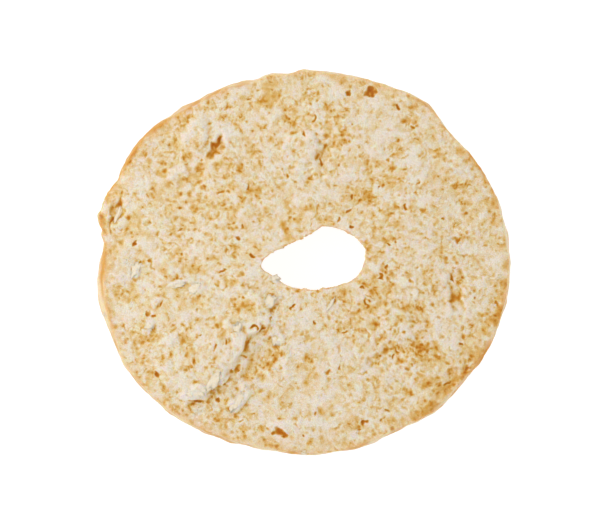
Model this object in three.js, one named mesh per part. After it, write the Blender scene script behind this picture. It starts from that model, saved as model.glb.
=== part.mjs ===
// One half of a plain bagel that was pulled apart at its slice, lying cut face up.
// Millimetres, +Z up. The origin is on the surface that it rests on, under the middle of its outline.
// It is one piece of bread: a crusted ring with a flat foot, and an uneven, torn crumb on top.
import * as THREE from "three";
import { mergeVertices } from "three/addons/utils/BufferGeometryUtils.js";
import { ImprovedNoise } from "three/addons/math/ImprovedNoise.js";

const { clamp, degToRad, euclideanModulo, lerp, radToDeg, smoothstep } = THREE.MathUtils;

// Heights over the table.
const CUT_HEIGHT = 17.5; // the slice, before the crumb tore out of true
const WIDEST_HEIGHT = 12; // where the ring bulges furthest outwards, and furthest into the hole

// The bends and corners of the ring seen from above: [degrees anticlockwise from +X, radius].
const OUTLINE = [
  [0, 55], [15, 54.5], [30, 53.4], [43, 52.5], [53, 53.6], [70, 51.9], [85, 51.6], [95, 50.8],
  [107, 50.6], [120, 51.3], [142, 54.4], [150, 54.7], [157, 54.3], [166, 54], [175, 53.5], [184, 55.4],
  [194, 55.6], [200, 55], [209, 55.4], [225, 54.1], [240, 52.5], [260, 51], [270, 51.5], [285, 51.8],
  [297, 51.6], [312, 53.3], [322, 53.5], [335, 54.7],
];
const HOLE = [
  [0, 12.7], [10, 13], [20, 12.1], [32, 11.3], [55, 9.9], [70, 9.3], [80, 9], [90, 7.9], [105, 6.9],
  [130, 7.1], [150, 8.2], [160, 9.8], [170, 11.9], [180, 14.3], [188, 14.9], [197, 13.2], [208, 11.4],
  [220, 10.3], [245, 8.5], [270, 7.6], [285, 7.5], [310, 8.6], [330, 10.4], [345, 11.6],
];
const HOLE_CENTRE = new THREE.Vector2(3.7, 0.6);
// How far the crust bulges out past the edge of the slice: [degrees, distance]. It is under zero where a
// torn scrap of the crumb hangs out over the crust instead.
const LIP = [
  [0, 0.5], [60, 0.5], [120, 0.9], [140, 1.1], [154, 0.8], [160, -1], [166, -1.8], [171, -1],
  [175, 0.3], [181, 1.8], [188, 2.4], [203, 1], [270, 0.8], [300, 1.5], [315, 1.8], [335, 1.2],
];
const LIP_REACH = 0.4; // the outer share of the slice that draws in with the lip

// The ring's average section, which the readings above then bend to the real outline.
const MEAN_OUTLINE = 53.5;
const MEAN_HOLE = 9.5;
const FOOT_INSET = WIDEST_HEIGHT; // the sides turn in to the flat foot on arcs of one radius

// How finely the faces follow the bread.
const AROUND = 126;
const CUT_ROWS = 32;
const WALL_ROWS = 5;
const BULGE_ROWS = 2;

// The large flap lifted as the halves were pulled apart. It rises slowly to a ragged front edge and drops
// there: the middle of that edge, the way that the front faces in degrees, its half length, how far back
// the flap reaches, and its height.
const FLAP = { x: -19, y: -25.5, faces: -45, halfLength: 17, back: 19, height: 2.9 };
const FLAP_DROP = 1.2; // how far the drop at the flap's front spreads
const FLAP_LEVEL = 0.65; // the share of the flap's length that keeps its full height
// Low mounds and hollows that the tearing left: [x, y, half length, half width, turn in degrees, height].
const TEARS = [
  [-1, 29.5, 6.5, 5.5, 60, 1.9], // the tuft above the hole
  [-17, -37, 5, 2.2, 55, 1.1], // a low ridge below the large flap
  [-29.5, 33.5, 6.5, 3.5, 60, 1.2],
  [24, -17, 8, 5, 30, 0.9],
  [-11.5, -27, 9, 4.5, 48, -1.3], // the hollow in front of the large flap
  [-22.8, 31, 5.2, 2.2, 62, -2.3], // grooves
  [-30, 22, 6, 2.6, 50, -0.9],
  [5.5, 28, 5.5, 2.4, 80, -1.4],
  [20.5, -26.5, 7.5, 2.3, 32, -1.3],
  [40.5, -30, 8, 2.2, 45, -1.4],
  [41, -8, 2.4, 7, 5, -1.2],
  [-49.5, 13, 5, 2.2, 68, -1.1],
];
const TEAR_EDGE = { from: 0.4, to: 1.15 }; // where such an edge starts and ends, as a share of the half size
// Large cells of the dough that the slice laid open: [x, y, half length, half width, turn, depth].
const CELLS = [
  [12, 45, 2.6, 2.6, 0, 1.9],
  [18.2, 45, 2.8, 2.6, 0, 2.2],
  [-5.5, -45.4, 3.8, 2.5, -25, 2.2],
  [-2.5, -12, 2.6, 2.4, 0, 1.6],
  [-41, -14, 3, 2.4, 0, 1.3],
  [-41.6, 10.3, 3.2, 2.3, 50, 1],
  [16.8, -42.3, 2.5, 2.3, 0, 1.4],
  [40.3, 5.8, 2.5, 2.4, 0, 1.2],
];
// The unevenness of the whole slice, each kind from a layer of its own of the same noise.
const SWELL = { size: 19, height: 0.8, layer: 3.5 };
const CRAGS = { size: 6.5, height: 1.3, layer: 11.5 };
const CRUMBS = { size: 3.4, height: 0.9, layer: 19.5 };
// How far a tear's edge strays from its smooth outline.
const RAGGED_X = { size: 4.5, height: 2.2, layer: 1.5 };
const RAGGED_Y = { size: 4.5, height: 2.2, layer: 7.5 };
// The crumb is finer and flatter next to the crust: the share of the relief left there, and how far
// across the ring the calm reaches from the hole and from the outline.
const EDGE_CALM = { share: 0.3, fromHole: 0.2, fromOutline: 0.08 };

const CRUST_DENTS = { size: 13, depth: 0.5 };
const CRUST_SETTLED = 2; // the crust is smooth up to this height over the foot

const NEAR = 1e-3; // points closer than this are one point

const perlin = new ImprovedNoise();
const lumps = (x, y, { size, height, layer }) => height * perlin.noise(x / size, y / size, layer);

// The radius at any angle, on a smooth closed curve through the readings.
function radiusAt(readings, angle) {
  const count = readings.length;
  const turned = euclideanModulo(radToDeg(angle), 360);
  const found = readings.findIndex(([at]) => at > turned);
  const next = found < 0 ? count : found;
  const [before, start, end, after] = [next - 2, next - 1, next, next + 1].map((k) => {
    const [at, radius] = readings[euclideanModulo(k, count)];
    return { at: at + 360 * Math.floor(k / count), radius };
  });
  const gap = end.at - start.at;
  const rise = end.radius - start.radius;
  const leaving = (gap * (end.radius - before.radius)) / (end.at - before.at);
  const arriving = (gap * (after.radius - start.radius)) / (after.at - start.at);
  const s = (turned - start.at) / gap;
  const bend = 3 * rise - 2 * leaving - arriving;
  const twist = leaving + arriving - 2 * rise;
  return start.radius + s * (leaving + s * (bend + s * twist));
}

// The ring's average section as a closed loop: up the outside, over the slice, down the hole, under the foot.
function averageSection() {
  const footOuter = MEAN_OUTLINE - FOOT_INSET;
  const footInner = MEAN_HOLE + FOOT_INSET;
  const points = [];
  for (let i = 0; i <= WALL_ROWS; i++) {
    const a = (i / WALL_ROWS) * (Math.PI / 2);
    const out = FOOT_INSET * Math.sin(a);
    points.push(new THREE.Vector2(footOuter + out, WIDEST_HEIGHT * (1 - Math.cos(a))));
  }
  for (let i = 1; i <= BULGE_ROWS; i++) {
    points.push(new THREE.Vector2(MEAN_OUTLINE, lerp(WIDEST_HEIGHT, CUT_HEIGHT, i / BULGE_ROWS)));
  }
  for (let i = 1; i <= CUT_ROWS; i++) {
    points.push(new THREE.Vector2(lerp(MEAN_OUTLINE, MEAN_HOLE, i / CUT_ROWS), CUT_HEIGHT));
  }
  for (let i = 0; i <= WALL_ROWS; i++) {
    const a = (i / WALL_ROWS) * (Math.PI / 2);
    const out = FOOT_INSET * (1 - Math.cos(a));
    points.push(new THREE.Vector2(MEAN_HOLE + out, WIDEST_HEIGHT * (1 - Math.sin(a))));
  }
  points.push(new THREE.Vector2((footOuter + footInner) / 2, 0));
  points.push(points[0].clone());
  return points;
}

// A place seen from a spot on the crumb: x along its turned direction and y to the left of it.
function seenFrom(x, y, spotX, spotY, degrees) {
  return new THREE.Vector2(x - spotX, y - spotY).rotateAround(new THREE.Vector2(), -degToRad(degrees));
}

// How much the flap raises the crumb at a point.
function flapAt(x, y) {
  const away = seenFrom(x, y, FLAP.x, FLAP.y, FLAP.faces);
  const front = 1 - smoothstep(away.x, 0, FLAP_DROP);
  const slope = smoothstep(away.x, -FLAP.back, 0);
  const length = 1 - smoothstep(Math.abs(away.y) / FLAP.halfLength, FLAP_LEVEL, 1);
  return FLAP.height * front * slope * length;
}

// How much one mound or hollow raises the crumb at a point: level inside, with a short steep edge.
function tearAt(x, y, [tearX, tearY, length, width, turn, height]) {
  const away = seenFrom(x, y, tearX, tearY, turn);
  const reach = Math.hypot(away.x / length, away.y / width);
  return height * (1 - smoothstep(reach, TEAR_EDGE.from, TEAR_EDGE.to));
}

// How deep one open cell is at a point: a round-bottomed cup.
function cellAt(x, y, [cellX, cellY, length, width, turn, depth]) {
  const away = seenFrom(x, y, cellX, cellY, turn);
  const reach = Math.hypot(away.x / length, away.y / width);
  return depth * Math.sqrt(Math.max(0, 1 - reach ** 2));
}

// The torn crumb's height over or under the plane of the slice.
function crumbRelief(x, y) {
  const strayX = x + lumps(x, y, RAGGED_X);
  const strayY = y + lumps(x, y, RAGGED_Y);
  const lifted = flapAt(strayX, strayY);
  const torn = TEARS.reduce((sum, tear) => sum + tearAt(strayX, strayY, tear), 0);
  const open = CELLS.reduce((sum, cell) => sum + cellAt(x, y, cell), 0);
  const uneven = lumps(x, y, SWELL) + lumps(x, y, CRAGS) + lumps(x, y, CRUMBS);
  return lifted + torn - open + uneven;
}

// Moves one vertex of the lathed ring to its place on the real, uneven bagel.
function placeVertex(vertex) {
  const angle = Math.atan2(vertex.y, vertex.x);
  const across = (Math.hypot(vertex.x, vertex.y) - MEAN_HOLE) / (MEAN_OUTLINE - MEAN_HOLE);
  const risen = clamp((vertex.z - WIDEST_HEIGHT) / (CUT_HEIGHT - WIDEST_HEIGHT), 0, 1);
  const tuckedIn = radiusAt(LIP, angle) * risen ** 2 * smoothstep(across, 1 - LIP_REACH, 1);

  const direction = new THREE.Vector2(Math.cos(angle), Math.sin(angle));
  const holePoint = direction.clone().multiplyScalar(radiusAt(HOLE, angle)).add(HOLE_CENTRE);
  const outlinePoint = direction.clone().multiplyScalar(radiusAt(OUTLINE, angle) - tuckedIn);
  const place = holePoint.lerp(outlinePoint, across);

  const onCut = vertex.z > CUT_HEIGHT - NEAR;
  if (onCut) {
    const offHole = smoothstep(across, 0, EDGE_CALM.fromHole);
    const offCrust = smoothstep(1 - across, 0, EDGE_CALM.fromOutline);
    vertex.z += crumbRelief(place.x, place.y) * lerp(EDGE_CALM.share, 1, Math.min(offHole, offCrust));
  } else {
    const outwards = across > 0.5 ? 1 : -1;
    const dent = CRUST_DENTS.depth * perlin.noise(
      place.x / CRUST_DENTS.size,
      place.y / CRUST_DENTS.size,
      vertex.z / CRUST_DENTS.size,
    );
    const loose = smoothstep(vertex.z, 0, CRUST_SETTLED) * (1 - risen);
    place.addScaledVector(direction, outwards * dent * loose);
  }
  return vertex.set(place.x, place.y, vertex.z);
}

function bagelHalf() {
  const lathed = new THREE.LatheGeometry(averageSection(), AROUND).rotateX(Math.PI / 2);
  lathed.deleteAttribute("normal");
  lathed.deleteAttribute("uv");
  const geometry = mergeVertices(lathed, NEAR);
  const position = geometry.getAttribute("position");
  const vertex = new THREE.Vector3();
  for (let i = 0; i < position.count; i++) {
    placeVertex(vertex.fromBufferAttribute(position, i));
    position.setXYZ(i, vertex.x, vertex.y, vertex.z);
  }
  geometry.computeVertexNormals();
  return geometry;
}

const bread = new THREE.MeshStandardMaterial({ color: "#e2cba2", roughness: 0.92, metalness: 0 });

const half = new THREE.Mesh(bagelHalf(), bread);
half.name = "bagel_half";

const bagel = new THREE.Group();
bagel.add(half);

export default bagel;
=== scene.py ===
import math

import bmesh
import bpy
import numpy as np
from mathutils import Euler, Matrix, Vector, noise


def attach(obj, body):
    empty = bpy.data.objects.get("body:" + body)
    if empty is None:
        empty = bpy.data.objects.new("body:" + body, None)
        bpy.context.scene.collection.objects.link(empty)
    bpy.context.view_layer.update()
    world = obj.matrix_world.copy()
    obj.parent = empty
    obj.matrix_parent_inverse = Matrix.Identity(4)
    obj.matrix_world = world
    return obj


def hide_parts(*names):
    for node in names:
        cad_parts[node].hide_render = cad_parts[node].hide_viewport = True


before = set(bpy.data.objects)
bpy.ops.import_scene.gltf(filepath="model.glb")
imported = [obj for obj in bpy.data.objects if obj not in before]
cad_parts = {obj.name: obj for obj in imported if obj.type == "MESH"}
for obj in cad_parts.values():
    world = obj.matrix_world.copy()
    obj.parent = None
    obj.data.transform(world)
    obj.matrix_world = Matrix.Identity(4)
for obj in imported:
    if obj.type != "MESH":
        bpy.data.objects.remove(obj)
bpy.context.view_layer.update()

# Studio
# A white table under soft, even light, with one broad weak lamp at the left, near enough for the bagel's
# left side to be the brighter one. The camera looks straight down from about 0.9 m.
MM = 0.001
PHOTO_WIDTH = 612  # pixels
MM_PER_PIXEL = 0.267  # where the bagel is widest
PHOTO_CENTRE = Vector((0.67, 0.4, 12)) * MM  # the middle of the photograph, at the widest height
LENS = 200  # mm, for a view with hardly any perspective
SENSOR = 36
LAMP_TOWARDS = (165, 55)  # degrees anticlockwise from +X, and up from the table
LAMP_DISTANCE = 0.39
LAMP_SIZE = 0.3
LAMP_POWER = 0.49
SOFT_LIGHT = 0.74
TABLE_SIZE = 1.8
TABLE_GREY = 0.25
TABLE_GLOW = 0.9  # of a lit table top, which shows as pure white
CAMERA_SEES = (0.05, 10)  # from and up to these distances


class Socket:
    """A socket of a material's nodes, which can be added, taken away and multiplied like a number."""

    def __init__(self, tree, link=None):
        self.tree = tree
        self.link = link

    def node(self, kind, settings, sockets, output=0):
        """Adds a node, sets its settings and then its sockets, and gives back one of its outputs."""
        added = self.tree.nodes.new("ShaderNode" + kind)
        for name, setting in settings.items():
            if name == "stops":
                elements = added.color_ramp.elements
                for place, colour in setting[1:-1]:
                    elements.new(place)
                for element, (place, colour) in zip(elements, setting):
                    element.position = place
                    element.color = (*colour, 1)
            else:
                setattr(added, name, setting)
        for name, value in sockets.items():
            if isinstance(value, Socket):
                self.tree.links.new(value.link, added.inputs[name])
            else:
                added.inputs[name].default_value = value
        return Socket(self.tree, added.outputs[output] if added.outputs else None)

    def maths(self, operation, first, second):
        return self.node("Math", {"operation": operation}, {0: first, 1: second})

    def __add__(self, other):
        return self.maths("ADD", self, other)

    def __radd__(self, other):
        return self.maths("ADD", other, self)

    def __sub__(self, other):
        return self.maths("SUBTRACT", self, other)

    def __rsub__(self, other):
        return self.maths("SUBTRACT", other, self)

    def __mul__(self, other):
        return self.maths("MULTIPLY", self, other)

    def __rmul__(self, other):
        return self.maths("MULTIPLY", other, self)


def new_material(name):
    """An empty material, as a socket to add nodes from."""
    material = bpy.data.materials.new(name)
    material.use_nodes = True
    material.node_tree.nodes.clear()
    return material, Socket(material.node_tree)


def add_object(name, data):
    made = bpy.data.objects.new(name, data)
    bpy.context.scene.collection.objects.link(made)
    return made


view_width = PHOTO_WIDTH * MM_PER_PIXEL * MM
camera_data = bpy.data.cameras.new("camera")
camera_data.lens = LENS
camera_data.sensor_width = SENSOR
camera_data.clip_start, camera_data.clip_end = CAMERA_SEES
camera = add_object("camera", camera_data)
camera.location = PHOTO_CENTRE + Vector((0, 0, view_width * LENS / SENSOR))
bpy.context.scene.camera = camera
bpy.context.scene.view_settings.view_transform = "Standard"

world = bpy.data.worlds.new("soft_light")
world.use_nodes = True
background = world.node_tree.nodes["Background"]
background.inputs["Color"].default_value = (1, 1, 1, 1)
background.inputs["Strength"].default_value = SOFT_LIGHT
bpy.context.scene.world = world

lamp_data = bpy.data.lights.new("lamp", "AREA")
lamp_data.size = LAMP_SIZE
lamp_data.energy = LAMP_POWER
lamp = add_object("lamp", lamp_data)
lamp_turn, lamp_rise = (math.radians(degrees) for degrees in LAMP_TOWARDS)
lamp.rotation_euler = Euler((0, math.pi / 2 - lamp_rise, lamp_turn))
lamp.location = lamp.rotation_euler.to_matrix() @ Vector((0, 0, LAMP_DISTANCE))

table_shape = bmesh.new()
bmesh.ops.create_grid(table_shape, x_segments=1, y_segments=1, size=TABLE_SIZE / 2)
table_mesh = bpy.data.meshes.new("table")
table_shape.to_mesh(table_mesh)
table_shape.free()
table_top, table_nodes = new_material("table_top")
table_surface = table_nodes.node("BsdfPrincipled", {}, {
    "Base Color": (TABLE_GREY, TABLE_GREY, TABLE_GREY, 1),
    "Roughness": 0.9,
    "Specular IOR Level": 0,
    "Emission Color": (1, 1, 1, 1),
    "Emission Strength": TABLE_GLOW,
})
table_nodes.node("OutputMaterial", {}, {"Surface": table_surface})
table_mesh.materials.append(table_top)
add_object("table", table_mesh)

# Bread
# The half is one piece of baked dough: a ring with a golden crust round its sides and foot, and a pale open
# crumb on top, where the bagel was cut and then pulled apart. Its section is spun round the hole, bent to
# this bagel's own outline, and torn, pitted and roughened down to its finest grain.
CUT_HEIGHT = 17.5
WIDEST_HEIGHT = 12  # of the bulge, outwards and into the hole
MEAN_OUTLINE = 53.5
MEAN_HOLE = 9.5
# The bends and corners of the ring seen from above: [degrees anticlockwise from +X, radius].
OUTLINE = [
    [0, 55], [15, 54.5], [30, 53.3], [43, 52.4], [53, 53.6], [70, 51.7], [80, 51.3], [90, 51.4], [95, 50.6],
    [100, 51.2], [105, 50.5], [113, 51.1], [122, 51.5], [142, 54.4], [150, 54.7], [157, 54.3], [166, 54],
    [175, 53.5], [184, 55.4], [194, 55.6], [200, 55], [209, 55.4], [225, 54.1], [240, 52.5], [260, 51],
    [270, 51.5], [285, 51.8], [297, 51.6], [312, 53.3], [322, 53.5], [335, 54.7],
]
HOLE = [
    [0, 12.8], [10, 13.3], [20, 12.4], [32, 11.5], [55, 10], [70, 9.4], [80, 9.2], [90, 8], [105, 7.1],
    [130, 7.3], [150, 8.3], [160, 9.9], [170, 11.9], [180, 14.3], [188, 15], [197, 13.3], [208, 11.7],
    [220, 10.6], [245, 8.8], [270, 7.9], [285, 7.8], [310, 8.9], [330, 10.8], [345, 12],
]
HOLE_CENTRE = (3.7, 0.6)
# How far the crust bulges past the edge of the cut, or less than zero where torn crumb hangs out over it.
LIP = [
    [0, 0.5], [60, 0.5], [120, 0.9], [140, 1.1], [154, 0.8], [160, -1], [166, -1.8], [171, -1],
    [175, 0.3], [181, 1.8], [188, 2.4], [203, 1], [270, 0.6], [300, 0.8], [315, 0.9], [335, 0.7],
]
LIP_REACH = 0.4  # the outer share of the cut that draws in with the lip

# The large flap lifted as the halves were pulled apart: the middle of its front edge, the way it faces, how
# far back it reaches, its height, and the front edge as [distance to the left, distance forwards].
FLAP_AT = (-19, -25.5)
FLAP_FACES = -45
FLAP_BACK = 19
FLAP_HEIGHT = 1.8
FLAP_FRONT = [
    [-17, -1.5], [-13.5, 1.6], [-10.5, 1.6], [-8, 0.4], [-5, 0.8], [-2, -0.6], [1.8, -0.4], [4, -1.6],
    [7, -2.4], [10, -1.4], [12, -2.2], [15.5, -0.6],
]
FLAP_DROP = 2.8  # how far the drop at the front spreads
FLAP_END = 4  # over what length the flap dies away at either end
FLAP_LEAN = 0.2  # how far the front leans out over what lies below, for each millimetre of its height
FLAP_LEAN_FROM = 2  # how far behind its front edge it begins to lean
# Low mounds and hollows that the tearing left: [x, y, half length, half width, turn in degrees, height].
TEARS = [
    [-1, 29.5, 6.5, 4.5, 60, 1.1],  # the tuft above the hole
    [-17, -37, 5, 2.2, 55, 1.1],  # a low ridge below the large flap
    [-29.5, 33.5, 6.5, 3.5, 60, 1.2],
    [24, -17, 8, 5, 30, 0.9],
    [-11.5, -27, 9, 4.5, 48, -1.3],  # the hollow in front of the large flap
    [-22.8, 31, 4.4, 2, 62, -1.6],  # grooves
    [-30, 22, 6, 2.6, 50, -0.7],
    [5.5, 28, 5.5, 2.4, 80, -0.8],
    [20.5, -26.5, 7.5, 2.3, 32, -0.8],
    [40.5, -30, 8, 2.2, 45, -0.6],
    [41, -8, 2.4, 7, 5, -1.2],
    [-49.5, 13, 5, 2.2, 68, -1.1],
    [-9.8, -10.6, 3, 2.2, 20, 1.1],  # tufts along the front of the large flap
    [-18.2, -19.2, 4.6, 2.6, 95, 1],
    [-22.8, -30.8, 3.6, 1.9, 60, 0.7],
    [-29, -34.4, 4, 2, 10, 1],
    [-7.2, -20.1, 3, 1.7, 100, 0.9],
    [-28.4, -7.3, 2.6, 2.1, 20, 0.7],  # tufts behind it
    [-33.9, -5.8, 3, 1.2, 5, 0.8],
    [-39.1, -10.2, 2, 1.6, 60, 0.6],
    [-40.9, -17.2, 1.9, 2.1, 0, 0.7],
    [-35, -20.5, 3, 2, 30, 0.6],
    [-44.2, -2.5, 2.5, 1.6, 70, 0.6],
    [-33.6, 25, 3.2, 1.7, 45, 0.7],
    [-8.3, 39.3, 3.5, 2.1, 0, 0.5],
    [26.2, -5.4, 3.4, 1.9, 10, 0.6],
    [28.4, -9, 1.7, 2.4, 0, 0.6],
]
TEAR_EDGE = (0.4, 1.15)  # where such an edge starts and ends, as a share of the half size
TEAR_BENDS = [[1.4, 0.6], [0.6, 0.35]]  # how their edges stray: [size of the bends, distance]
CUP_BEND = 0.8  # 0.5 makes a cell's bottom round, and 1 makes its edges soft
# The large cells and cracks laid open: [x, y, half length, half width, turn in degrees, depth].
CELLS = [
    [12.1, 45.1, 1.2, 1.1, 0, 1.9], [17.8, 45, 1.9, 1.3, 0, 2.4], [-5.9, -45.4, 2.4, 1.1, -25, 2.3],
    [-2.7, -12.2, 1.1, 0.8, 20, 1.7], [-22.9, 31.6, 1.9, 0.8, 62, 1.2], [-14.3, 43.7, 1, 0.5, 40, 0.8],
    [-13.5, -17.1, 0.9, 0.7, 0, 1.8], [-8.9, -14.7, 1.2, 0.7, 70, 1.7], [-11, -17, 1.6, 0.6, 20, 1.1],
    [-23.5, -22.3, 0.9, 0.6, 90, 1.4], [-27.7, -19.1, 0.6, 0.4, 20, 1.2], [-28.7, -26, 1.3, 0.45, 105, 1.1],
    [-20.4, -21.2, 1.4, 0.35, 100, 1], [-28.7, -36.4, 2.2, 0.4, -12, 1.4], [-22.7, -36.6, 1, 0.6, 60, 1.4],
    [-21.4, -31, 1.3, 0.7, 60, 1.2], [-17.6, -28.2, 1.6, 0.7, 35, 1], [-15.6, -25.2, 1.3, 0.4, -25, 0.8],
    [-39.2, -29.6, 1.1, 0.7, -35, 1.3], [-41.4, -13.9, 0.7, 0.8, 0, 1.2], [-40, -14.4, 0.7, 0.6, 0, 1.2],
    [-46.9, -17.5, 1, 0.35, 100, 0.7], [-40.9, -20.8, 0.8, 0.6, -40, 0.7], [-37.6, -10.6, 1.1, 0.35, 60, 0.9],
    [-22.9, -5.8, 1.1, 0.7, 0, 1], [-21.8, -2.3, 1.3, 0.6, 20, 1.1], [-16.4, -3.1, 1.1, 0.9, 30, 0.8],
    [-40.4, -0.3, 1.5, 0.55, 105, 0.9], [-41.4, 10.4, 1.5, 1, 55, 0.9], [-44.9, 5, 0.9, 0.7, 20, 1.5],
    [-48.8, 15.8, 2.1, 0.75, 60, 1.2], [-51, 9.6, 2.4, 0.5, 88, 1], [-32.8, 8.5, 0.8, 0.5, 10, 1.1],
    [-27.2, 8.9, 0.9, 0.9, 0, 0.6], [-17.6, 6.3, 1, 0.35, -10, 1.3], [-9, 8.9, 1.5, 0.9, 15, 0.6],
    [-13.6, 1.7, 0.7, 0.5, 30, 1.3], [-32.3, 1.7, 0.6, 0.5, 90, 0.9], [-14.5, 19.9, 1, 0.5, 60, 0.9],
    [-21.8, 18.4, 1.4, 0.6, 15, 0.8], [-26.2, 19.9, 0.8, 0.7, 90, 0.6], [-4.6, 23.2, 1.2, 0.35, 100, 0.9],
    [-9.4, 12.3, 1.6, 0.4, 10, 0.6], [-16.2, 9.3, 0.6, 0.5, 0, 0.8], [-45.7, 26.8, 0.9, 0.4, 65, 0.9],
    [0, 33.8, 0.9, 0.6, 80, 1.1], [2.7, 38.2, 1.5, 0.5, 68, 0.9], [1.5, 46.1, 0.8, 0.7, 0, 0.7],
    [4.9, 26.8, 1.9, 0.6, 95, 0.9], [1.8, 24.3, 1.3, 0.6, 0, 0.8], [25.4, 41.3, 0.8, 0.6, 110, 1],
    [25.2, 32, 0.8, 0.7, 0, 0.7], [29.1, 35.8, 0.8, 0.5, 110, 0.9], [22.5, 26.6, 0.8, 0.45, 100, 0.9],
    [20.3, 20, 0.5, 0.45, 0, 1.7], [12.6, 17.5, 0.8, 0.45, 10, 1.2], [26.7, 14.4, 0.8, 0.45, 90, 1.3],
    [30.4, 21, 0.9, 0.45, 90, 0.9], [26.9, 27.9, 1.9, 0.5, 8, 0.6], [11.9, 13.6, 0.8, 0.5, 0, 0.9],
    [9.7, 11.1, 0.9, 0.7, 60, 1], [13, 9.6, 0.9, 0.6, 10, 1.4], [22.9, 4.3, 0.8, 0.35, -20, 1.2],
    [25.2, 5.6, 0.8, 0.5, 80, 0.9], [40.3, 6, 0.95, 0.9, 0, 1.3], [43.4, 8.3, 0.7, 0.6, 0, 0.7],
    [37, 11.3, 0.5, 0.5, 0, 0.9], [42.8, 1.7, 0.9, 0.7, 70, 1], [20.5, -3.8, 1, 0.6, -10, 1.5],
    [21.8, -1.4, 1.3, 0.5, 70, 1], [15.5, -6.9, 0.9, 0.5, -10, 1.2], [16.7, -10.6, 1.7, 0.6, 100, 0.8],
    [29.1, -5.4, 1.2, 0.45, -42, 1.1], [39.7, -3.8, 1.7, 0.45, 105, 1.3], [11, -18.6, 1.2, 0.4, 22, 1.2],
    [3.1, -15.9, 0.6, 0.5, 0, 1.1], [1.3, -20.8, 1.7, 1.2, 80, 0.8], [25.1, -17.9, 1.2, 0.35, 95, 0.9],
    [25.1, -23.4, 1, 0.5, -35, 1], [23.6, -24.8, 0.9, 0.5, 60, 1.1], [20.7, -25.2, 0.7, 0.5, 0, 0.9],
    [18.1, -27.4, 1.5, 0.8, 40, 0.7], [15.9, -29.6, 1.1, 0.5, 12, 0.9], [6.5, -29.5, 1, 0.7, -15, 1.1],
    [9.3, -28, 0.8, 0.4, 35, 0.9], [9.1, -23.4, 1.3, 0.5, 65, 0.8], [15.9, -33.3, 2, 0.5, 95, 0.6],
    [29.1, -21.9, 0.8, 0.8, 0, 0.7], [27.4, -28.5, 0.8, 0.6, 45, 0.8], [41.9, -17.5, 1.5, 0.45, 92, 0.9],
    [42, -21.9, 0.7, 0.6, 0, 1.4], [35.9, -14.5, 1.1, 0.6, -45, 0.8], [45.4, -10, 0.6, 0.5, 90, 0.8],
    [51.3, -11.3, 0.8, 0.35, 80, 0.9], [43.6, -28, 1.7, 0.55, 45, 1.1], [38.2, -31.8, 1.7, 0.5, 30, 1],
    [22.3, -39.3, 0.65, 0.6, 0, 1.3], [16.6, -42.3, 0.95, 0.75, 50, 1.6], [21.2, -41.7, 0.6, 0.5, 0, 1],
    [14.6, -44.5, 0.7, 0.4, 25, 1], [-0.4, -46.3, 0.6, 0.4, 90, 1.2], [3.5, -39.9, 0.8, 0.6, 60, 0.8],
    [8, -40.2, 1.7, 0.7, 0, 0.6], [8.2, -44.1, 1.3, 0.4, 10, 0.7], [-16.7, -41.7, 0.9, 0.5, 10, 0.9],
    [-13.4, -40.3, 0.6, 0.5, 0, 0.8], [-31.4, -28.5, 0.8, 0.7, 0, 0.7], [-24.8, -39.5, 1.2, 0.4, 95, 0.7],
]
# The fine pores of the crumb, each kind with its number, half width, depth for its width, and stretch.
PORES = [
    {"number": 1500, "least": 0.22, "most": 0.45, "deep": 0.9, "stretch": 1.6},
    {"number": 110, "least": 0.45, "most": 0.8, "deep": 0.7, "stretch": 2},
]
PORE_DEPTHS = (0.6, 1.3)  # how much shallower and deeper than that they can be
# They lie closer in some patches than in others, and at the right of the slice than at its left.
PORES_LAID = 0.62  # the share of them laid on the whole
MORE_AT_RIGHT = 0.2  # how much that share grows to the right, and over what distance
RIGHT_REACH = 25
PATCH_SIZE = 4
PORES_IN_PATCHES = 0.16  # how much it differs from patch to patch
PIT_BENDS = [[0.5, 0.26], [0.25, 0.1]]  # how cells and pores are out of round: [size of the bends, distance]
PIT_DEPTH = 0.42  # the share of these depths that the torn walls leave open
# The unevenness of the torn crumb, from the swell of the whole slice down to single grains: [size, height].
LUMPS = [[5.5, 0.22], [2.2, 0.16], [1.1, 0.07], [0.6, 0.05], [0.3, 0.03]]
# The crevices between the torn grains: [size of the grains, depth, how rare the crevices are].
CREVICES = [[0.28, 0.1, 0.8], [0.45, 0.12, 1.1]]
# The broken lines along which the crumb tore: [size of the tufts between them, depth, how rare they are].
SEAMS = [[0.35, 0.16, 0.1], [0.55, 0.2, 0.2], [0.9, 0.2, 0.5]]
SEAM_WIDTH = 0.45  # as a share of how much the lumps between them rise and fall
SEAM_BENDS = [[0.3, 0.25], [0.8, 0.4]]  # how they stray: [size of the bends, distance]
TORN_IN_PATCHES = 0.3  # how much crevices and seams crowd in the patches where pores do
# The share of the unevenness that is left at the ring's edges, and the shares of the way across it over which
# that grows to the whole.
EDGE_CALM = {"share": 0.45, "from_hole": 0.2, "from_outline": 0.05}
# How the edges of the cut stray, most of all on the torn scrap of crumb at the left.
RAGGED = [[3, 0.14], [1.2, 0.09], [0.5, 0.08]]  # size and height
RAGGED_REACH = 0.06  # how far into the slice they stray, as a share of the way across
SCRAP_FROM = (156, 161)  # degrees over which the scrap begins
SCRAP_TO = (170, 177)  # degrees over which it ends
SCRAP_ROUGHER = 2.5
CRUST_DENTS = [[4, 0.25], [1.5, 0.13], [0.6, 0.05]]  # size and height
HOLE_DENTS = 0.5  # their height in the hole's wall, as a share
FOOT_DENTS = 0.5  # their height in the foot, as a share
FOOT_RISE = 0.2  # the mean height of the uneven foot over the points that it stands on
CRUST_SETTLED = 2  # the height over which the dents of the foot pass into those of the sides

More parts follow.
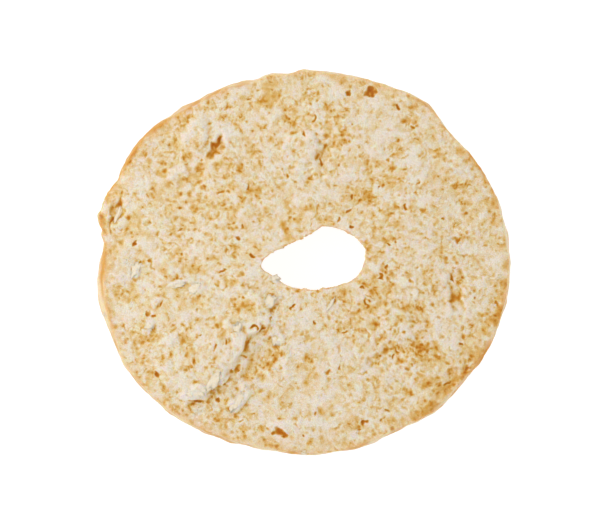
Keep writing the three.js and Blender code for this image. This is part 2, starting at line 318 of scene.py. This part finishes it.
# How finely the faces follow the bread.
GRAIN = 0.25  # from point to point on the cut
SIDE_ROW = 0.9  # from row to row on the foot and the upper sides
ROUND_ROWS = 20  # round each of the section's lower corners
SPIN_STEPS = 96  # of the first, coarse spin
MOST_TRIANGLES = 192000
NEAR = 0.001  # heights closer than this are one height

# A square field of heights over the whole slice, which repeats at its edges.
GRID_REACH = 60
GRID_PITCH = 0.15
ticks = np.arange(-GRID_REACH, GRID_REACH - GRID_PITCH / 2, GRID_PITCH)
grid_x, grid_y = np.meshgrid(ticks, ticks)
dice = np.random.default_rng(seed=11)


def smoothed(field, size):
    """The field without anything finer than the size."""
    waves = np.fft.fftfreq(len(ticks), GRID_PITCH)
    kept = np.exp(-2 * (math.pi * size * waves) ** 2)
    return np.fft.ifft2(np.fft.fft2(field) * np.outer(kept, kept)).real


def lumps(size):
    """Random lumps of one size, which rise and fall by about 1."""
    field = smoothed(dice.standard_normal(grid_x.shape), size)
    return field / field.std()


def bent(places, bends):
    """The grid's places along one axis, which stray by lumps of each size and distance."""
    for size, distance in bends:
        places = places + distance * lumps(size)
    return places


def sampled(field, x, y):
    """The field's value at any places, worked out between its own points."""
    column = (x + GRID_REACH) / GRID_PITCH
    row = (y + GRID_REACH) / GRID_PITCH
    left = np.floor(column).astype(int)
    low = np.floor(row).astype(int)
    over = column - left
    up = row - low
    count = len(ticks)
    left, right = left % count, (left + 1) % count
    low, high = low % count, (low + 1) % count
    lower = field[low, left] * (1 - over) + field[low, right] * over
    upper = field[high, left] * (1 - over) + field[high, right] * over
    return lower * (1 - up) + upper * up


def round_ring(field, degrees, level):
    """The field laid round the ring so that it meets itself, with its other way down or across."""
    turns_of_field = 3
    return sampled(field, degrees / 360 * turns_of_field * 2 * GRID_REACH, level)


def radius_at(readings, degrees):
    """The radius at any angle, on a smooth closed curve through the readings."""
    at, radius = np.array(readings, float).T
    at = np.concatenate((at[-2:] - 360, at, at[:2] + 360))
    radius = np.concatenate((radius[-2:], radius, radius[:2]))
    turned = degrees % 360
    k = np.searchsorted(at, turned, side="right")
    gap = at[k] - at[k - 1]
    rise = radius[k] - radius[k - 1]
    leaving = gap * (radius[k] - radius[k - 2]) / (at[k] - at[k - 2])
    arriving = gap * (radius[k + 1] - radius[k - 1]) / (at[k + 1] - at[k - 1])
    s = (turned - at[k - 1]) / gap
    bend = 3 * rise - 2 * leaving - arriving
    twist = leaving + arriving - 2 * rise
    return radius[k - 1] + s * (leaving + s * (bend + s * twist))


def eased(value, start, end):
    """0 before the start, 1 after the end, and smoothly from one to the other between them."""
    share = np.clip((value - start) / (end - start), 0, 1)
    return share * share * (3 - 2 * share)


def seen_from(x, y, spot, degrees):
    """Places seen from a spot: how far along its turned direction, and how far to the left of it."""
    turn = math.radians(degrees)
    away_x = x - spot[0]
    away_y = y - spot[1]
    along = away_x * math.cos(turn) + away_y * math.sin(turn)
    aside = away_y * math.cos(turn) - away_x * math.sin(turn)
    return along, aside


def open_cell(depths, x, y, length, width, degrees, depth):
    """Opens one round-bottomed cell of the dough in a field of depths."""
    reach = max(length, width)
    columns = slice(*np.searchsorted(ticks, (x - reach, x + reach)))
    rows = slice(*np.searchsorted(ticks, (y - reach, y + reach)))
    along, aside = seen_from(grid_x[rows, columns], grid_y[rows, columns], (x, y), degrees)
    cup = np.clip(1 - (along / length) ** 2 - (aside / width) ** 2, 0, 1) ** CUP_BEND
    depths[rows, columns] = np.maximum(depths[rows, columns], depth * cup)


# The forms of the tearing, whose edges stray from their smooth lines.
stray_x = bent(grid_x, TEAR_BENDS)
stray_y = bent(grid_y, TEAR_BENDS)
ahead, aside = seen_from(stray_x, stray_y, FLAP_AT, FLAP_FACES)
front_aside, front_ahead = np.array(FLAP_FRONT, float).T
ahead = ahead - np.interp(aside, front_aside, front_ahead) + FLAP_LEAN * FLAP_HEIGHT
flap_right = eased(aside, front_aside[0] - FLAP_END / 2, front_aside[0] + FLAP_END / 2)
flap_left = 1 - eased(aside, front_aside[-1] - FLAP_END / 2, front_aside[-1] + FLAP_END / 2)
slope = eased(ahead, -FLAP_BACK, 0) * (1 - eased(ahead, 0, FLAP_DROP))
torn = FLAP_HEIGHT * slope * flap_right * flap_left
lean = FLAP_LEAN * torn * eased(ahead, -FLAP_LEAN_FROM, 0)
lean_x = lean * math.cos(math.radians(FLAP_FACES))
lean_y = lean * math.sin(math.radians(FLAP_FACES))
for x, y, length, width, degrees, height in TEARS:
    along, aside = seen_from(stray_x, stray_y, (x, y), degrees)
    torn += height * (1 - eased(np.hypot(along / length, aside / width), *TEAR_EDGE))

uneven = sum(height * lumps(size) for size, height in LUMPS)

# The cells and pores, all slightly out of round.
pits = np.zeros_like(grid_x)
for cell in CELLS:
    open_cell(pits, *cell)
patches = lumps(PATCH_SIZE)
for kind in PORES:
    number = kind["number"]
    places = dice.uniform(-GRID_REACH, GRID_REACH, (number, 2))
    crowd = PORES_LAID + MORE_AT_RIGHT * np.tanh(places[:, 0] / RIGHT_REACH)
    crowd += PORES_IN_PATCHES * sampled(patches, places[:, 0], places[:, 1])
    kept = dice.random(number) < crowd
    widths = kind["least"] + (kind["most"] - kind["least"]) * dice.random(number) ** 2
    stretches = 1 + (kind["stretch"] - 1) * dice.random(number)
    turns = dice.uniform(0, 180, number)
    depths = widths * kind["deep"] * dice.uniform(*PORE_DEPTHS, number)
    for place, width, stretch, degrees, depth in zip(
        places[kept], widths[kept], stretches[kept], turns[kept], depths[kept]
    ):
        open_cell(pits, *place, width * stretch, width, degrees, depth)
pits = PIT_DEPTH * sampled(pits, bent(grid_x, PIT_BENDS), bent(grid_y, PIT_BENDS))
for size, depth, rare in CREVICES:
    crevices = np.clip(lumps(size) + TORN_IN_PATCHES * patches - rare, 0, None)
    pits = np.maximum(pits, depth * crevices)
bent_x = bent(grid_x, SEAM_BENDS)
bent_y = bent(grid_y, SEAM_BENDS)
for size, depth, rare in SEAMS:
    seams = np.clip(1 - np.abs(lumps(size)) / SEAM_WIDTH, 0, 1)
    seams *= np.clip(lumps(size) + TORN_IN_PATCHES * patches - rare, 0, 1)
    pits = np.maximum(pits, depth * sampled(seams, bent_x, bent_y))

# How far each place is from the ring's two edges, beside which the crumb is calmer.
from_centre = np.degrees(np.arctan2(grid_y, grid_x))
grid_outline = radius_at(OUTLINE, from_centre) - radius_at(LIP, from_centre)
to_rim = grid_outline - np.hypot(grid_x, grid_y)
round_hole = np.degrees(np.arctan2(grid_y - HOLE_CENTRE[1], grid_x - HOLE_CENTRE[0]))
to_hole = np.hypot(grid_x - HOLE_CENTRE[0], grid_y - HOLE_CENTRE[1]) - radius_at(HOLE, round_hole)
across_ring = MEAN_OUTLINE - MEAN_HOLE
calm = np.minimum(
    eased(to_hole / across_ring, 0, EDGE_CALM["from_hole"]),
    eased(to_rim / across_ring, 0, EDGE_CALM["from_outline"]),
)
calm = EDGE_CALM["share"] + (1 - EDGE_CALM["share"]) * calm
crumb_height = (torn + uneven) * calm - pits

# Painted shade: where the crumb lies deeper than what is round it, its colour takes the ochre that shade and
# light bounced about in its pits give it: [size looked at, strength for each millimetre of depth there].
PAINTED_SHADE_IN_HOLLOWS = [[0.25, 4], [0.5, 3], [1, 1.7], [2.2, 0.7], [5, 0.15]]
# It is blotchy by itself too: [size, strength].
BLOTCHES = [[0.28, 0.22], [0.5, 0.25], [1, 0.2], [2.2, 0.11], [4.5, 0.07], [9, 0.04]]
# The large forms count as depth too, so painted shade also gathers beside them, as in front of the large
# flap.
TORN_SHARE = 0.55  # how much of the large forms counts as such depth
# How deep the tone of the crumb is: [share of the crumb that is paler, tone].
TONES = [
    [0, 0], [0.1, 0.03], [0.25, 0.08], [0.5, 0.18], [0.75, 0.33], [0.9, 0.56], [0.95, 0.77], [0.99, 1.4],
    [1, 2.1],
]
# Each place's tone: painted shade where it lies deeper than what is round it, added to the crumb's own
# blotches.
relief = uneven + TORN_SHARE * torn - pits
hollow = sum(strength * lumps(size) for size, strength in BLOTCHES)
for size, strength in PAINTED_SHADE_IN_HOLLOWS:
    hollow += strength * (smoothed(relief, size) - relief)
paler_share = hollow.ravel().argsort().argsort().reshape(hollow.shape) / hollow.size
hollow = np.interp(paler_share, *np.array(TONES).T)

# The section of the ring, with its two lower corners rounded, spun round the middle.
ring = bmesh.new()
corners = [
    ring.verts.new((radius, 0, height))
    for radius, height in [
        (MEAN_HOLE, 0), (MEAN_OUTLINE, 0), (MEAN_OUTLINE, CUT_HEIGHT), (MEAN_HOLE, CUT_HEIGHT),
    ]
]
for corner, following in zip(corners, corners[1:] + corners[:1]):
    ring.edges.new((corner, following))
bmesh.ops.bevel(
    ring, geom=corners[:2], offset=WIDEST_HEIGHT, offset_type="OFFSET", segments=ROUND_ROWS,
    profile=0.5, affect="VERTICES", material=-1,
)
for edge in list(ring.edges):
    on_cut = all(vert.co.z > CUT_HEIGHT - GRAIN for vert in edge.verts)
    cuts = round(edge.calc_length() / (GRAIN if on_cut else SIDE_ROW)) - 1
    if cuts > 0:
        bmesh.ops.subdivide_edges(ring, edges=[edge], cuts=cuts)
bmesh.ops.spin(
    ring, geom=ring.verts[:] + ring.edges[:], cent=(0, 0, 0), axis=(0, 0, 1), dvec=(0, 0, 0),
    angle=2 * math.pi, steps=SPIN_STEPS, use_merge=True,
)
around = [
    edge for edge in ring.edges
    if edge.verts[0].co.xy.angle(edge.verts[1].co.xy) > math.pi / SPIN_STEPS
]
cuts = round(2 * math.pi * MEAN_OUTLINE / SPIN_STEPS / GRAIN) - 1
bmesh.ops.subdivide_edges(ring, edges=around, cuts=cuts, use_grid_fill=True)
bmesh.ops.recalc_face_normals(ring, faces=ring.faces)
bread_mesh = bpy.data.meshes.new("bagel_bread")
ring.to_mesh(bread_mesh)
ring.free()

# Each of its points moves to its place on the real, uneven bagel.
spots = np.empty(3 * len(bread_mesh.vertices), np.float32)
bread_mesh.vertices.foreach_get("co", spots)
ring_x, ring_y, ring_z = spots.reshape(-1, 3).T.astype(float)
degrees = np.degrees(np.arctan2(ring_y, ring_x))
direction_x = np.cos(np.radians(degrees))
direction_y = np.sin(np.radians(degrees))
across = (np.hypot(ring_x, ring_y) - MEAN_HOLE) / across_ring
risen = np.clip((ring_z - WIDEST_HEIGHT) / (CUT_HEIGHT - WIDEST_HEIGHT), 0, 1)
tucked_in = radius_at(LIP, degrees) * risen ** 2 * eased(across, 1 - LIP_REACH, 1)
in_scrap = eased(degrees % 360, *SCRAP_FROM) * (1 - eased(degrees % 360, *SCRAP_TO))
ragged = sum(height * round_ring(lumps(size), degrees, ring_z) for size, height in RAGGED)
ragged *= (1 + (SCRAP_ROUGHER - 1) * in_scrap) * risen
hole_radius = radius_at(HOLE, degrees) + ragged * (1 - eased(across, 0, RAGGED_REACH))
outline_radius = radius_at(OUTLINE, degrees) - tucked_in + ragged * eased(across, 1 - RAGGED_REACH, 1)
near_x = hole_radius * direction_x + HOLE_CENTRE[0]
near_y = hole_radius * direction_y + HOLE_CENTRE[1]
place_x = near_x + (outline_radius * direction_x - near_x) * across
place_y = near_y + (outline_radius * direction_y - near_y) * across

on_cut = ring_z > CUT_HEIGHT - NEAR
place_z = ring_z + np.where(on_cut, sampled(crumb_height, place_x, place_y), 0)
# The crumb's tone, with the shade of its hollows painted in.
tone = np.where(on_cut, sampled(hollow, place_x, place_y), 0)
outer = across > 0.5
outwards = np.where(outer, 1, -1)
level = ring_z - np.hypot(ring_x, ring_y)
dents = sum(height * round_ring(lumps(size), degrees, level) for size, height in CRUST_DENTS)
off_foot = eased(ring_z, 0, CRUST_SETTLED)
loose = np.where(on_cut, 0, off_foot * (1 - risen)) * np.where(outer, 1, HOLE_DENTS)
place_z += np.clip(FOOT_RISE + FOOT_DENTS * dents, 0, None) * (1 - off_foot)
leans = np.where(on_cut, 1, 0)
moved_x = place_x + outwards * dents * loose * direction_x + leans * sampled(lean_x, place_x, place_y)
moved_y = place_y + outwards * dents * loose * direction_y + leans * sampled(lean_y, place_x, place_y)
moved = np.stack((moved_x, moved_y, place_z), axis=1) * MM
bread_mesh.vertices.foreach_set("co", moved.astype(np.float32).ravel())

# What the material follows: the crumb's tone with the shade of its hollows painted in, how much of a place is
# crust, and how well it is baked.
CRUST_LINE = 0.33  # how thick the crust shows at the edge of the cut
CRUST_LINE_LUMPS = (1, 0.6)  # the size and strength of its unevenness
CRUST_LINE_EDGE = (0.5, 1.2)  # the shares of that thickness between which crust passes into crumb
HOLE_CRUST_THINNER = 1.6  # how many times thinner it shows at the hole
CRUST_LINE_LEAST = 0.4  # how thick it shows where it is hardly baked, as a share
STREAK_WIDTH = 0.6
STREAK_LENGTH = 3  # for its width, of the streaks that run along the crust
# How well the crust is baked near the cut, from 0 to 1 by degrees round the ring, and farther down.
BAKED = [
    [0, 0.1], [30, 0.15], [60, 0.25], [85, 0.2], [105, 0.2], [120, 0.6], [135, 0.95], [150, 1], [158, 0.8],
    [165, 0.3], [180, 0.5], [195, 0.45], [205, 0.25], [225, 0.25], [255, 0.3], [285, 0.35], [305, 0.6],
    [325, 0.6], [345, 0.3],
]
CRUSTY_FROM = 0.3  # where it is baked less than this, it shows thinner at the edge
SIDE_BAKED = 0.6
SIDE_FROM = (8.5, 13)  # the heights between which the one passes into the other
FOOT_BAKED = 0.85
BAKED_PATCHES = (2.5, 0.08)  # the size and strength of patches that are baked more or less
SIDE_STREAKS = 0.05  # how strongly the streaks show on the sides, and how much more near the cut
CUT_STREAKS = 0.35
# How tan the crumb is beside the crust: [degrees, tone], and how far in that reaches.
RIM_TAN = [
    [0, 0.15], [15, 0], [35, 0.12], [60, 0.15], [80, 0.2], [105, 0], [140, 0.15], [165, 0.35], [190, 0.15],
    [220, 0], [255, 0.12], [285, 0.12], [312, 0.5], [335, 0.6], [350, 0.4],
]
RIM_TAN_REACH = 2
TAN_STREAKS = 0.6  # how much that tan is streaked, and how gritty it is
TAN_GRIT = 0.9
GRIT_SIZE = 0.35
CRUST_GLOW = 0.3  # how golden the crust makes the crumb beside it, and how far in
CRUST_GLOW_REACH = 1.3
rim_gap = sampled(to_rim, place_x, place_y)
hole_gap = sampled(to_hole, place_x, place_y)
streaks = round_ring(lumps(STREAK_WIDTH), degrees / STREAK_LENGTH, level)
crusty = np.clip(radius_at(BAKED, degrees) / CRUSTY_FROM, 0, 1)
line_size, line_strength = CRUST_LINE_LUMPS
thickness = CRUST_LINE * (CRUST_LINE_LEAST + (1 - CRUST_LINE_LEAST) * crusty)
thickness *= np.exp(line_strength * round_ring(lumps(line_size), degrees, level))
edge_gap = np.minimum(rim_gap, HOLE_CRUST_THINNER * hole_gap)
crust_share = 1 - eased(edge_gap, *(share * thickness for share in CRUST_LINE_EDGE))
glow = CRUST_GLOW * crusty * np.exp(-np.clip(rim_gap, 0, None) / CRUST_GLOW_REACH)
crust_share = np.where(on_cut, np.maximum(crust_share, glow), 1)
grit = sampled(lumps(GRIT_SIZE), place_x, place_y)
tan = radius_at(RIM_TAN, degrees) * np.exp(-np.clip(rim_gap, 0, None) / RIM_TAN_REACH)
tone += tan * np.clip(1 + TAN_STREAKS * streaks + TAN_GRIT * grit, 0, None)
near_cut = eased(ring_z, *SIDE_FROM)
patch_size, patch_strength = BAKED_PATCHES
baked = radius_at(BAKED, degrees) * near_cut + SIDE_BAKED * (1 - near_cut)
baked += patch_strength * round_ring(lumps(patch_size), degrees, level)
baked += (SIDE_STREAKS + CUT_STREAKS * near_cut) * streaks
baked = baked * off_foot + FOOT_BAKED * (1 - off_foot)
for name, values in (("hollow", tone), ("crust", crust_share), ("baked", baked)):
    layer = bread_mesh.attributes.new(name, "FLOAT", "POINT")
    layer.data.foreach_set("value", values.astype(np.float32))

# The crumb is pale cream on its crests; its tone, painted shade in its hollows along with its own blotches,
# takes more blue than red away.
CREST = (0.865, 0.79, 0.7)
LOSS = (0.22, 0.75, 2.3)
DEEPEST = 2.2  # the tone in which its colours end
TONE_STEPS = (0, 0.1, 0.25, 0.45, 0.7, 1)  # the shares of that at which they are worked out
CRUST_LIGHT = (0.84, 0.66, 0.41)
CRUST_DEEP = (0.68, 0.33, 0.06)
GRAIN_SIZE = 0.0003  # metres
GRAIN_TONES = 0.65  # how much single grains differ in tone
GRAIN_SHADES = (0.7, 0.6)  # the shade of the darkest grain, and how much lighter the lightest one is
SHADES_FINER = 1.2  # how many times finer these are than the tones
SHADES_SLICE = 5  # a part of the noise that is far from the one of the tones
MOTTLE_DENSITY = 350  # of the crust's mottles, on each metre
MOTTLE = 0.4  # how much they differ in baking
CRUST_SMOOTHER = 0.8  # how much of the crumb's grain the crust has lost
CRUMB_ROUGHNESS = 0.95
CRUST_SHEEN = 0.4  # how much less rough the crust is


def crumb_paint(nodes, crest):
    """The colour of torn crumb with this colour on its crests, the place it is read at, and its grains."""
    tones = [
        (share, tuple(part * math.exp(-loss * share * DEEPEST) for part, loss in zip(crest, LOSS)))
        for share in TONE_STEPS
    ]
    place = nodes.node("TexCoord", {}, {}, "Object")
    grains = nodes.node("TexNoise", {}, {"Vector": place, "Scale": 1 / GRAIN_SIZE, "Detail": 2})
    # On the bread this tone holds the painted shade of the crumb's hollows as well as its own blotches.
    depth = nodes.node("Attribute", {"attribute_name": "hollow"}, {}, "Fac") + (grains - 0.5) * GRAIN_TONES
    return nodes.node("ValToRGB", {"stops": tones}, {"Fac": depth * (1 / DEEPEST)}), place, grains


bread_finish, nodes = new_material("bread")
crumb_colour, place, speckle = crumb_paint(nodes, CREST)
mottle = nodes.node("TexNoise", {}, {"Vector": place, "Scale": MOTTLE_DENSITY, "Detail": 4})
baking = nodes.node("Attribute", {"attribute_name": "baked"}, {}, "Fac") + (mottle - 0.5) * MOTTLE
crust_colour = nodes.node("ValToRGB", {"stops": [(0, CRUST_LIGHT), (1, CRUST_DEEP)]}, {"Fac": baking})
crusted = nodes.node("Attribute", {"attribute_name": "crust"}, {}, "Fac")
blended = nodes.node(
    "Mix", {"data_type": "RGBA"}, {"Factor": crusted, 6: crumb_colour, 7: crust_colour}, 2,
)
# Single grains catch more or less of the light: painted light and shade, multiplied into the colour as
# lighter and darker greys.
darkest, lighter = GRAIN_SHADES
shade = darkest + lighter * nodes.node(
    "TexNoise", {"noise_dimensions": "4D"},
    {"Vector": place, "W": SHADES_SLICE, "Scale": SHADES_FINER / GRAIN_SIZE, "Detail": 2},
)
painted_grain_shade = nodes.node("CombineColor", {}, {0: shade, 1: shade, 2: shade})
colour = nodes.node(
    "Mix", {"data_type": "RGBA", "blend_type": "MULTIPLY"}, {"Factor": 1, 6: blended, 7: painted_grain_shade}, 2,
)
raised = speckle * (1 - CRUST_SMOOTHER * crusted) + mottle * crusted
bumps = nodes.node("Bump", {}, {"Height": raised, "Strength": 0.9, "Distance": 0.00015})
surface = nodes.node("BsdfPrincipled", {}, {
    "Base Color": colour,
    "Roughness": CRUMB_ROUGHNESS - CRUST_SHEEN * crusted,
    "Specular IOR Level": 0.3,
    "Subsurface Weight": 0.8,
    "Subsurface Radius": (1.5, 0.9, 0.3),
    "Subsurface Scale": 0.0008,
    "Normal": bumps,
})
nodes.node("OutputMaterial", {}, {"Surface": surface})
bread_mesh.materials.append(bread_finish)

bread = add_object("bagel_bread", bread_mesh)
thinning = bread.modifiers.new("thinning", "DECIMATE")
thinning.ratio = MOST_TRIANGLES / (2 * len(bread_mesh.polygons))
depsgraph = bpy.context.evaluated_depsgraph_get()
bread.data = bpy.data.meshes.new_from_object(bread.evaluated_get(depsgraph), depsgraph=depsgraph)
bread.modifiers.clear()
bread.data.shade_smooth()
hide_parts("bagel_half")
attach(bread, "root")

# Shreds
# Flakes and crumbs of the torn dough that came loose as the halves were pulled apart. They cling to the
# cut, thickest round the large flap, and a few hang over its edges. Each is a rough little lump.
# The larger flakes: [x, y, half length, half width, half thickness, turn, tilt in degrees, rise].
FLAKES = [
    [-23.7, -31.5, 2.8, 1.1, 0.3, 60, 6, 0.1],  # on the large flap
    [-9, -10.5, 1.9, 1.3, 0.3, 40, 0, -0.1],
    [-17.9, -18.2, 2.1, 1.1, 0.25, 80, 0, -0.1],
    [-28.6, -34.8, 2.1, 1, 0.25, -10, 0, -0.1],
    [-17.6, -37.2, 2.7, 1, 0.3, 58, 0, -0.1],
    [-7.3, -20.2, 2, 1, 0.25, 95, 0, -0.1],
    [-33.7, -6, 2.4, 0.8, 0.25, 5, 0, -0.1],
    [-28.4, -7, 1.7, 1.3, 0.3, 30, 0, -0.1],
    [-40.9, -17, 1.2, 1, 0.25, 70, 0, -0.1],
    [-44.6, -2, 1.8, 0.9, 0.25, 65, 0, -0.1],
    [7.2, -11.4, 1.8, 0.45, 0.25, 60, 0, 0],
    [-49.3, 12.4, 2.3, 0.5, 0.25, 66, 0, 0.1],  # along the torn scrap
    [-7.6, -4.6, 1.3, 1, 0.5, 10, 0, -0.4],  # over the edge of the hole
    [-52.8, -14, 0.6, 0.4, 0.4, 0, 0, -0.9],  # over the rim
    [0.4, -50.4, 1.5, 0.7, 0.5, 15, 0, -0.4],
]
FLAKE_FACES = 3  # how often the faces are split of the ball that a flake is shaped from
FLAKE_TONE = 0.1
CRUMBS = 500
CRUMB_HALF = {"length": (0.2, 0.6), "width": (0.15, 0.32), "thickness": (0.1, 0.2)}
CRUMB_FACES = 1
CRUMB_TONES = (0.05, 0.25)
CRUMBS_ROUND_FLAP = 20  # how far from the middle of the flap they lie thickest
CRUMBS_ELSEWHERE = 0.35  # how thick they lie farther off, as a share
CRUMBS_UP_TO = 0.15  # they cling to places no deeper in tone than this
CRUMBS_MARGIN = 2  # and stay this far from the edges
ROUGHNESS = [[1.3, 0.5], [3, 0.55], [7, 0.35]]  # lumps for each half size, and their height
SHAPES_FROM = 100  # each takes its shape from a place in the noise up to this far from its middle
shreds = bmesh.new()
shred_tones = []


def add_shred(x, y, halves, degrees, tilt, rise, faces, tone):
    """Adds one rough lump of crumb, turned, tilted and set on the torn face."""
    level = CUT_HEIGHT + sampled(crumb_height, np.float64(x), np.float64(y)) + rise
    turned = Euler((0, -math.radians(tilt), math.radians(degrees))).to_matrix().to_4x4()
    placed = Matrix.Translation((x, y, level)) @ turned @ Matrix.Diagonal((*halves, 1))
    start = Vector(dice.uniform(-SHAPES_FROM, SHAPES_FROM, 3))
    for vert in bmesh.ops.create_icosphere(shreds, subdivisions=faces, radius=1)["verts"]:
        swell = 1 + sum(height * noise.noise(vert.co * often + start) for often, height in ROUGHNESS)
        vert.co = placed @ (vert.co * swell) * MM
        shred_tones.append(tone)


for x, y, *halves, degrees, tilt, rise in FLAKES:
    add_shred(x, y, halves, degrees, tilt, rise, FLAKE_FACES, FLAKE_TONE)
crumbs_laid = 0
while crumbs_laid < CRUMBS:
    x, y = dice.uniform(-MEAN_OUTLINE, MEAN_OUTLINE, 2)
    near_flap = math.dist((x, y), FLAP_AT) < CRUMBS_ROUND_FLAP
    inside = min(sampled(to_rim, x, y), sampled(to_hole, x, y)) > CRUMBS_MARGIN
    clings = inside and sampled(hollow, x, y) < CRUMBS_UP_TO
    if clings and dice.random() < (1 if near_flap else CRUMBS_ELSEWHERE):
        halves = [dice.uniform(*CRUMB_HALF[side]) for side in ("length", "width", "thickness")]
        add_shred(x, y, halves, dice.uniform(0, 180), 0, 0, CRUMB_FACES, dice.uniform(*CRUMB_TONES))
        crumbs_laid += 1
shreds_mesh = bpy.data.meshes.new("bagel_shreds")
shreds.to_mesh(shreds_mesh)
shreds.free()
shreds_mesh.attributes.new("hollow", "FLOAT", "POINT").data.foreach_set("value", shred_tones)
SHRED_CREST_PAINTED_LIGHTER = (0.9, 0.83, 0.72)  # paler than the face they lie on: painted light, which lifts the shade of their small steep faces
shred_finish, nodes = new_material("shred")
surface = nodes.node("BsdfPrincipled", {}, {
    "Base Color": crumb_paint(nodes, SHRED_CREST_PAINTED_LIGHTER)[0],
    "Roughness": CRUMB_ROUGHNESS,
    "Specular IOR Level": 0.3,
})
nodes.node("OutputMaterial", {}, {"Surface": surface})
shreds_mesh.materials.append(shred_finish)
shreds_mesh.shade_smooth()
loose_crumb = add_object("bagel_shreds", shreds_mesh)
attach(loose_crumb, "root")
